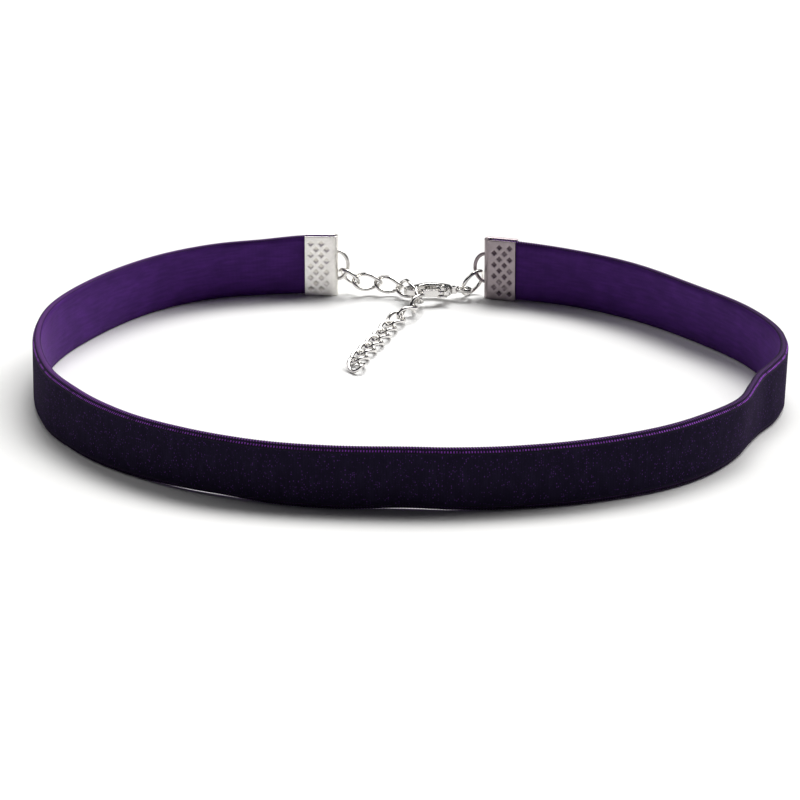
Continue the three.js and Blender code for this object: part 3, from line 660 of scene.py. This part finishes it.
class CHOKER_OT_ribbon(bpy.types.Operator):
    """Velvet ribbon with its pile, woven back, ground threads and rolled selvedges"""
    bl_idname = "choker.ribbon"
    bl_label = "Make Ribbon"

    def execute(self, context):
        ribbon = context.scene.choker_ribbon
        metal = context.scene.choker_metal
        self.band(ribbon, metal)
        self.selvedge("selvedge_top", ribbon, metal, ribbon.width - CORD_HALF_TALL)
        self.selvedge("selvedge_bottom", ribbon, metal, CORD_HALF_TALL)
        return {"FINISHED"}

    def band(self, ribbon, metal):
        """Profile carried along the path: the flat inner face, the ground's narrow rims, and the pile,
        which rises from the ground along a quarter wave and is pressed flat inside the ribbon ends."""
        path = ribbon_path(ribbon, metal, RIBBON_STEP)
        half = ribbon.ground / 2
        back = np.linspace(GROUND_RIM, ribbon.width - GROUND_RIM, 12)
        outer_top = ribbon.width - ribbon.selvedge
        thread = np.linspace(ribbon.width - GROUND_RIM, outer_top - PILE_GAP, 4)
        bank = outer_top - PILE_GAP - PILE_BANK * np.linspace(0.0, 1.0, 5)[1:]
        face = np.linspace(ribbon.width - FIRST_TUFTS, FIRST_TUFTS, 9)
        low_bank = (ribbon.width - bank)[::-1]
        low_thread = (ribbon.width - thread)[::-1]
        up = np.concatenate([back, thread, bank, face, low_bank, low_thread])
        grown = np.concatenate([
            np.zeros(len(thread)), np.sin(np.linspace(0, np.pi / 2, 5))[1:], np.ones(len(face)),
            np.sin(np.linspace(0, np.pi / 2, 5))[1:][::-1], np.zeros(len(thread)),
        ])
        run = path["run"]
        away = np.minimum(run, run[-1] - run) - (metal.end_length - 2 * metal.end_slot)
        rested = np.clip(away / PILE_RECOVERY, 0.0, 1.0)
        rested = rested ** 2 * (3 - 2 * rested)
        pile = PRESSED_PILE + (ribbon.pile - PRESSED_PILE) * rested
        across = np.concatenate([
            np.full((len(run), len(back)), -half), half + pile[:, None] * grown[None, :],
        ], axis=1)
        points = on_ribbon(path, ribbon, across, np.broadcast_to(up, across.shape))
        vertices, faces = surface(points, False, True)
        count = len(up)
        strip = np.full(count, 2, dtype=np.int32)
        strip[:len(back) - 1] = 0
        first = len(back) + len(thread) + len(bank)
        strip[first:first + len(face) - 1] = 1
        slots = np.tile(strip, len(run) - 1)
        uv = np.stack([np.broadcast_to(run[:, None], across.shape),
                       np.broadcast_to(up, across.shape)], axis=-1).reshape(-1, 2) / MM
        caps = [range(count)[::-1], range((len(run) - 1) * count, len(run) * count)]
        piece = new_piece("velvet_band", vertices, faces,
                          [ribbon_back(ribbon), velvet_pile(ribbon), ground_threads(ribbon)],
                          caps, slots, uv)
        point_outwards(piece)
        hand_over(piece, "velvet", BODY, "velvet_ribbon")

    def selvedge(self, name, ribbon, metal, height):
        """Flattened cord along one edge. Its radius falls by the groove's share times the square of a
        wave that winds round it once in each rib, so it looks bound with thread."""
        path = ribbon_path(ribbon, metal, ribbon.rib / 6)
        sides = 10
        around = np.linspace(0.0, 2 * np.pi, sides, endpoint=False)[None, :]
        run = path["run"][:, None]
        groove = 0.5 + 0.5 * np.cos(2 * np.pi * run / ribbon.rib + around)
        radius = 1.0 - CORD_GROOVE * groove ** 2
        across = CORD_HALF_THICK * np.cos(around) * radius
        up = height + CORD_HALF_TALL * np.sin(around) * radius
        points = on_ribbon(path, ribbon, across, up)
        vertices, faces = surface(points, False, True)
        uv = np.stack([np.broadcast_to(run, across.shape),
                       np.broadcast_to(around * CORD_ROUND, across.shape)], axis=-1).reshape(-1, 2) / MM
        caps = [range(sides)[::-1], range(len(vertices) - sides, len(vertices))]
        piece = new_piece(name, vertices, faces, [rolled_selvedge(ribbon)], caps, None, uv)
        point_outwards(piece)
        hand_over(piece, "velvet", BODY)


class CHOKER_OT_ribbon_ends(bpy.types.Operator):
    """Crimped ribbon ends with embossed pits and a soldered loop"""
    bl_idname = "choker.ribbon_ends"
    bl_label = "Make Ribbon Ends"

    def execute(self, context):
        ribbon = context.scene.choker_ribbon
        metal = context.scene.choker_metal
        # Painted reflection: each end takes its own lighter or darker plating and pit colour.
        platings_and_light = {
            "ribbon_end_left": (metal.left_plating_lit, metal.left_pits_lit),
            "ribbon_end_right": (metal.right_plating_shaded, metal.right_pits_shaded),
        }
        for name, heading in END_HEADINGS.items():
            finish = crimped_metal(name, *platings_and_light[name])
            self.sheet(name, heading, ribbon, metal, finish)
            self.loop(name, heading, ribbon, metal, finish)
        return {"FINISHED"}

    def sheet(self, name, heading, ribbon, metal, finish):
        """Sheet folded round a half circle. Each station of the fold carries a rounded section, and its
        outer face sinks by the pit depth times one minus the square of the diamond distance."""
        tall = ribbon.width + 2 * metal.end_clearance
        half = metal.end_half
        slot = metal.end_slot
        straight = metal.end_length - half
        leg = np.linspace(0.0, straight, 60)
        bend = np.linspace(-np.pi / 2, np.pi / 2, 25)[1:-1]
        x = np.concatenate([leg, straight + half * np.cos(bend), leg[::-1]])
        y = np.concatenate([np.full(60, -half), half * np.sin(bend), np.full(60, half)])
        normal = np.concatenate([
            np.tile([0.0, -1.0], (60, 1)), np.stack([np.cos(bend), np.sin(bend)], axis=1),
            np.tile([0.0, 1.0], (60, 1)),
        ])
        edge = SHEET_EDGE
        corner = np.linspace(0.0, np.pi / 2, 5)[:-1]
        rise = np.linspace(edge, tall - edge, 97)
        wall = half - slot
        z = np.concatenate([edge * (1 - np.cos(corner)), rise,
                            tall - edge * (1 - np.cos(corner[::-1])), [tall - edge, edge]])
        sink = np.concatenate([edge * (1 - np.sin(corner)), np.zeros(len(rise)),
                               edge * (1 - np.sin(corner[::-1])), [wall, wall]])
        along = np.broadcast_to(x[:, None], (len(x), len(z)))
        high = np.broadcast_to(z[None, :], along.shape)
        pit = self.pits(along, high, tall, metal)
        pit[:, -2:] = 0.0
        depth = sink[None, :] + metal.pit_depth * pit
        flat = np.stack([along - normal[:, :1] * depth,
                         np.broadcast_to(y[:, None], along.shape) - normal[:, 1:] * depth, high], axis=-1)
        points = turned(flat, heading)
        points[..., :2] += end_mouth(name, metal)
        vertices, faces = surface(points, False, True)
        count = len(z)
        caps = [range(count)[::-1], range(len(vertices) - count, len(vertices))]
        piece = new_piece(name + "_sheet", vertices, faces, [finish], caps)
        shade = piece.data.attributes.new("pit", "FLOAT", "POINT")
        shade.data.foreach_set("value", pit.ravel().astype(np.float32))
        point_outwards(piece)
        piece.data.set_sharp_from_angle(angle=np.radians(50))
        hand_over(piece, "crimped_metal", BODY, name)

    def pits(self, along, high, tall, metal):
        """Depth share of the pits at each place: rows half a pitch apart, shifted in turn."""
        half = metal.pit_width / np.sqrt(2)
        span = metal.end_length - metal.end_half - 2 * metal.pit_margin
        columns = int((span - metal.pit_width / 2) / (metal.pit_along / 2)) + 1
        rows = int((tall - 2 * metal.pit_margin - metal.pit_width) / metal.pit_up) + 1
        found = np.zeros(along.shape)
        for column in range(columns):
            count = rows - column % 2
            x = metal.pit_margin + metal.pit_width / 2 + column * metal.pit_along / 2
            for row in range(count):
                z = tall / 2 + (row - (count - 1) / 2) * metal.pit_up
                reach = (np.abs(along - x) + np.abs(high - z)) / half
                found = np.maximum(found, np.clip(1 - reach ** 2, 0.0, 1.0))
        return found

    def loop(self, name, heading, ribbon, metal, finish):
        """Half oval of wire that stands out of the fold."""
        tall = ribbon.width + 2 * metal.end_clearance
        angle = np.linspace(-np.pi / 2, np.pi / 2, 41)
        out = metal.loop_reach + metal.loop_sink - metal.wire / 2
        up = (metal.loop_tall - metal.wire) / 2
        path = np.stack([metal.end_length - metal.loop_sink + out * np.cos(angle), np.zeros(41),
                         tall / 2 + up * np.sin(angle)], axis=1)
        side = np.tile([0.0, 1.0, 0.0], (41, 1))
        points = tube_points(path, directions(path, False), side, metal.wire / 2, metal.wire / 2, 16)
        points = turned(points, heading)
        points[..., :2] += end_mouth(name, metal)
        vertices, faces = surface(points, False, True)
        caps = [range(16)[::-1], range(len(vertices) - 16, len(vertices))]
        piece = new_piece(name + "_loop", vertices, faces, [finish], caps)
        point_outwards(piece)
        hand_over(piece, "crimped_metal", BODY)


class CHOKER_OT_rings(bpy.types.Operator):
    """Jump rings between the ribbon ends, the chain and the clasp"""
    bl_idname = "choker.rings"
    bl_label = "Make Jump Rings"

    def execute(self, context):
        metal = context.scene.choker_metal
        finish = bright_metal(metal)
        for name in RINGS:
            self.ring(name, metal, finish)
        return {"FINISHED"}

    def ring(self, name, metal, finish):
        """Round wire carried round a circle whose plane is the node's own, with a fine parting where
        the ring was closed: there the wire narrows for a hair's breadth."""
        middle, axes = main_directions(name)
        reach = np.linalg.norm(node_points(name) - middle, axis=1).max()
        radius = reach - metal.wire / 2
        turn = np.linspace(0.0, 2 * np.pi, 96, endpoint=False)
        flat = np.stack([radius * np.cos(turn), radius * np.sin(turn), np.zeros(96)], axis=1)
        side = np.stack([np.cos(turn), np.sin(turn), np.zeros(96)], axis=1)
        parting = np.exp(-((turn - np.pi) / PARTING_ANGLE) ** 2)
        wire = (metal.wire / 2 * (1 - PARTING_SHARE * parting))[:, None]
        points = tube_points(flat, directions(flat, True), side, wire, wire, 16) @ axes.T + middle
        vertices, faces = surface(points, True, True)
        piece = new_piece(name + "_wire", vertices, faces, [finish])
        point_outwards(piece)
        hand_over(piece, "bright_metal", BODY, name)


class CHOKER_OT_chain(bpy.types.Operator):
    """Twisted links of the chain, each in the place of its node"""
    bl_idname = "choker.chain"
    bl_label = "Make Chain"

    def execute(self, context):
        metal = context.scene.choker_metal
        finish = bright_metal(metal)
        for name in LINKS:
            self.link(name, metal, finish)
        return {"FINISHED"}

    def link(self, name, metal, finish):
        """Oval of wire: half the length times the cosine along the link, half the width times the sine
        across it, and that half width turned about the length by the twist times the cosine."""
        middle, axes = main_directions(name)
        turn = np.linspace(0.0, 2 * np.pi, 72, endpoint=False)
        half = (metal.link_length - metal.wire) / 2
        wide = (metal.link_width - metal.wire) / 2 * np.sin(turn)
        twist = metal.link_twist * np.cos(turn)
        path = np.stack([half * np.cos(turn), wide * np.cos(twist), wide * np.sin(twist)], axis=1)
        wire = metal.wire / 2 * LINK_THINNING
        points = tube_points(path, directions(path, True), path, wire, wire, 14) @ axes.T + middle
        vertices, faces = surface(points, True, True)
        piece = new_piece(name + "_wire", vertices, faces, [finish])
        point_outwards(piece)
        hand_over(piece, "bright_metal", BODY, name)


class CHOKER_OT_clasp(bpy.types.Operator):
    """Lobster clasp: cast body, lever and rivet"""
    bl_idname = "choker.clasp"
    bl_label = "Make Clasp"

    def execute(self, context):
        metal = context.scene.choker_metal
        finish = bright_metal(metal)
        self.casting("clasp_body", BODY, finish)
        self.casting("clasp_lever", LEVER_BODY, finish)
        self.rivet(finish)
        return {"FINISHED"}

    def casting(self, name, body, finish):
        """Rounded copy of a node: its facets are merged, turned into small even quads and relaxed."""
        edit = bmesh.new()
        edit.from_mesh(frame["nodes"][name].data)
        bmesh.ops.remove_doubles(edit, verts=edit.verts, dist=1e-7)
        mesh = bpy.data.meshes.new(name + "_casting")
        edit.to_mesh(mesh)
        edit.free()
        mesh.materials.clear()
        mesh.materials.append(finish)
        piece = bpy.data.objects.new(name + "_casting", mesh)
        bpy.context.scene.collection.objects.link(piece)
        even = piece.modifiers.new("Even quads", "REMESH")
        even.mode = "VOXEL"
        even.voxel_size = CASTING_GRAIN
        even.use_smooth_shade = True
        soften = piece.modifiers.new("Soften", "SMOOTH")
        soften.factor = 0.5
        soften.iterations = 10
        hand_over(piece, "bright_metal", body, name)

    def rivet(self, finish):
        """Pin turned about the lever's pivot, with a low dome at each end."""
        middle, axes = main_directions("clasp_rivet")
        points = node_points("clasp_rivet")
        pivot = next(joint for joint in frame["joints"] if joint["name"] == "lever_pivot")
        axis = np.array(pivot["axis"], dtype=float)
        axis /= np.linalg.norm(axis)
        away = (points - middle) @ axis
        reach = np.linalg.norm(points - middle - away[:, None] * axis, axis=1).max()
        tall = away.max()
        dome = np.linspace(0.0, np.pi / 2, 7)
        radius = np.concatenate([reach * np.sin(dome[1:]), reach * np.sin(dome[:0:-1])])
        height = np.concatenate([-tall - RIVET_DOME * np.cos(dome[1:]) + RIVET_DOME,
                                 tall + RIVET_DOME * np.cos(dome[:0:-1]) - RIVET_DOME])
        first = np.cross(axis, [1.0, 0.0, 0.0])
        first /= np.linalg.norm(first)
        second = np.cross(axis, first)
        around = np.linspace(0.0, 2 * np.pi, 24, endpoint=False)
        spoke = np.cos(around)[:, None] * first + np.sin(around)[:, None] * second
        grid = (middle + height[:, None, None] * axis + radius[:, None, None] * spoke[None, :, :])
        vertices, faces = surface(grid, False, True)
        caps = [range(24)[::-1], range(len(vertices) - 24, len(vertices))]
        piece = new_piece("clasp_rivet_pin", vertices, faces, [finish], caps)
        point_outwards(piece)
        hand_over(piece, "bright_metal", BODY, "clasp_rivet")


class CHOKER_OT_stage(bpy.types.Operator):
    """White floor, soft light from behind and above, and the camera"""
    bl_idname = "choker.stage"
    bl_label = "Make Stage"

    def execute(self, context):
        scene = context.scene
        stage = scene.choker_stage
        self.camera(scene, stage)
        self.floor(stage)
        self.lights(scene, stage)
        scene.view_settings.view_transform = "Standard"
        scene.view_settings.look = "None"
        return {"FINISHED"}

    def camera(self, scene, stage):
        middle = loop_middle(scene.choker_ribbon) + np.array(stage.aim)
        target = Vector((middle[0], middle[1], 0.0))
        away = Vector((0.0, -np.cos(stage.elevation), np.sin(stage.elevation)))
        data = bpy.data.cameras.new("camera")
        data.lens = stage.lens
        data.sensor_fit = "HORIZONTAL"
        data.sensor_width = 36.0
        data.clip_start = 0.01
        data.clip_end = 20.0
        camera = bpy.data.objects.new("camera", data)
        camera.location = target + away * stage.distance
        camera.rotation_euler = (-away).to_track_quat("-Z", "Y").to_euler()
        scene.collection.objects.link(camera)
        scene.camera = camera

    def floor(self, stage):
        """Large flat square at the height of the choker's lowest point."""
        nodes = Nodes("white_floor")
        place = nodes.add("ShaderNodeTexCoord").outputs["Object"]
        grain = nodes.noise(place, 600.0, 3.0)
        pale = tuple(min(1.0, c * 1.02) for c in stage.floor_color[:3]) + (1.0,)
        nodes.link(nodes.mix(grain, stage.floor_color, pale), nodes.shader.inputs["Base Color"])
        nodes.set(Roughness=0.6)
        half = FLOOR_HALF_SIZE
        points = np.array([[-half, -half, 0.0], [half, -half, 0.0], [half, half, 0.0], [-half, half, 0.0]])
        points[:, 2] = cad_low[2]
        floor = new_piece("floor", points, np.array([[0, 1, 2, 3]]), [nodes.material], smooth=False)

    def lights(self, scene, stage):
        """Room with soft lights: each is full round its middle direction and fades at its rim, by the
        cosine of the angle between the two. Their sum is added to the room's own light."""
        world = bpy.data.worlds.new("room")
        world.use_nodes = True
        tree = world.node_tree
        background = tree.nodes["Background"]
        place = tree.nodes.new("ShaderNodeTexCoord").outputs["Generated"]
        light = tree.nodes.new("ShaderNodeVectorMath")
        light.operation = "MULTIPLY"
        light.inputs[0].default_value = [c * stage.light_strength for c in stage.light_color[:3]]
        total = None
        for heading, height, core, rim, brightness in LIGHTS:
            turn, rise = np.radians(heading), np.radians(height)
            toward = tree.nodes.new("ShaderNodeVectorMath")
            toward.operation = "DOT_PRODUCT"
            toward.inputs[1].default_value = (np.cos(turn) * np.cos(rise), np.sin(turn) * np.cos(rise),
                                              np.sin(rise))
            fade = tree.nodes.new("ShaderNodeMapRange")
            fade.interpolation_type = "SMOOTHSTEP"
            fade.inputs["From Min"].default_value = np.cos(np.radians(rim))
            fade.inputs["From Max"].default_value = np.cos(np.radians(core))
            fade.inputs["To Max"].default_value = brightness
            tree.links.new(place, toward.inputs[0])
            tree.links.new(toward.outputs["Value"], fade.inputs["Value"])
            sum_so_far = tree.nodes.new("ShaderNodeMath")
            sum_so_far.inputs[1].default_value = 0.0
            tree.links.new(fade.outputs[0], sum_so_far.inputs[0])
            if total is not None:
                tree.links.new(total, sum_so_far.inputs[1])
            total = sum_so_far.outputs[0]
        tree.links.new(total, light.inputs[1])
        with_room = tree.nodes.new("ShaderNodeVectorMath")
        with_room.inputs[1].default_value = stage.room_color[:3]
        tree.links.new(light.outputs[0], with_room.inputs[0])
        tree.links.new(with_room.outputs[0], background.inputs["Color"])
        background.inputs["Strength"].default_value = 1.0
        scene.world = world


class CHOKER_PT_panel(bpy.types.Panel):
    bl_idname = "CHOKER_PT_panel"
    bl_label = "Velvet Choker"
    bl_space_type = "VIEW_3D"
    bl_region_type = "UI"
    bl_category = "Choker"

    def draw(self, context):
        layout = self.layout
        for operator in OPERATORS:
            layout.operator(operator.bl_idname)
        for name in SETTINGS:
            box = layout.box()
            settings = getattr(context.scene, name)
            for prop in settings.bl_rna.properties:
                if not prop.is_readonly and prop.identifier != "name":
                    box.prop(settings, prop.identifier)


SETTINGS = {
    "choker_ribbon": ChokerRibbonSettings,
    "choker_metal": ChokerMetalSettings,
    "choker_stage": ChokerStageSettings,
}
OPERATORS = (
    CHOKER_OT_stage, CHOKER_OT_ribbon, CHOKER_OT_ribbon_ends,
    CHOKER_OT_rings, CHOKER_OT_chain, CHOKER_OT_clasp,
)


def register():
    for group in SETTINGS.values():
        bpy.utils.register_class(group)
    for name, group in SETTINGS.items():
        setattr(bpy.types.Scene, name, bpy.props.PointerProperty(type=group))
    for operator in OPERATORS:
        bpy.utils.register_class(operator)
    bpy.utils.register_class(CHOKER_PT_panel)


def unregister():
    bpy.utils.unregister_class(CHOKER_PT_panel)
    for operator in reversed(OPERATORS):
        bpy.utils.unregister_class(operator)
    for name in SETTINGS:
        delattr(bpy.types.Scene, name)
    for group in reversed(tuple(SETTINGS.values())):
        bpy.utils.unregister_class(group)


def main():
    register()
    bpy.ops.choker.stage()
    bpy.ops.choker.ribbon()
    bpy.ops.choker.ribbon_ends()
    bpy.ops.choker.rings()
    bpy.ops.choker.chain()
    bpy.ops.choker.clasp()


if __name__ == "__main__":
    main()
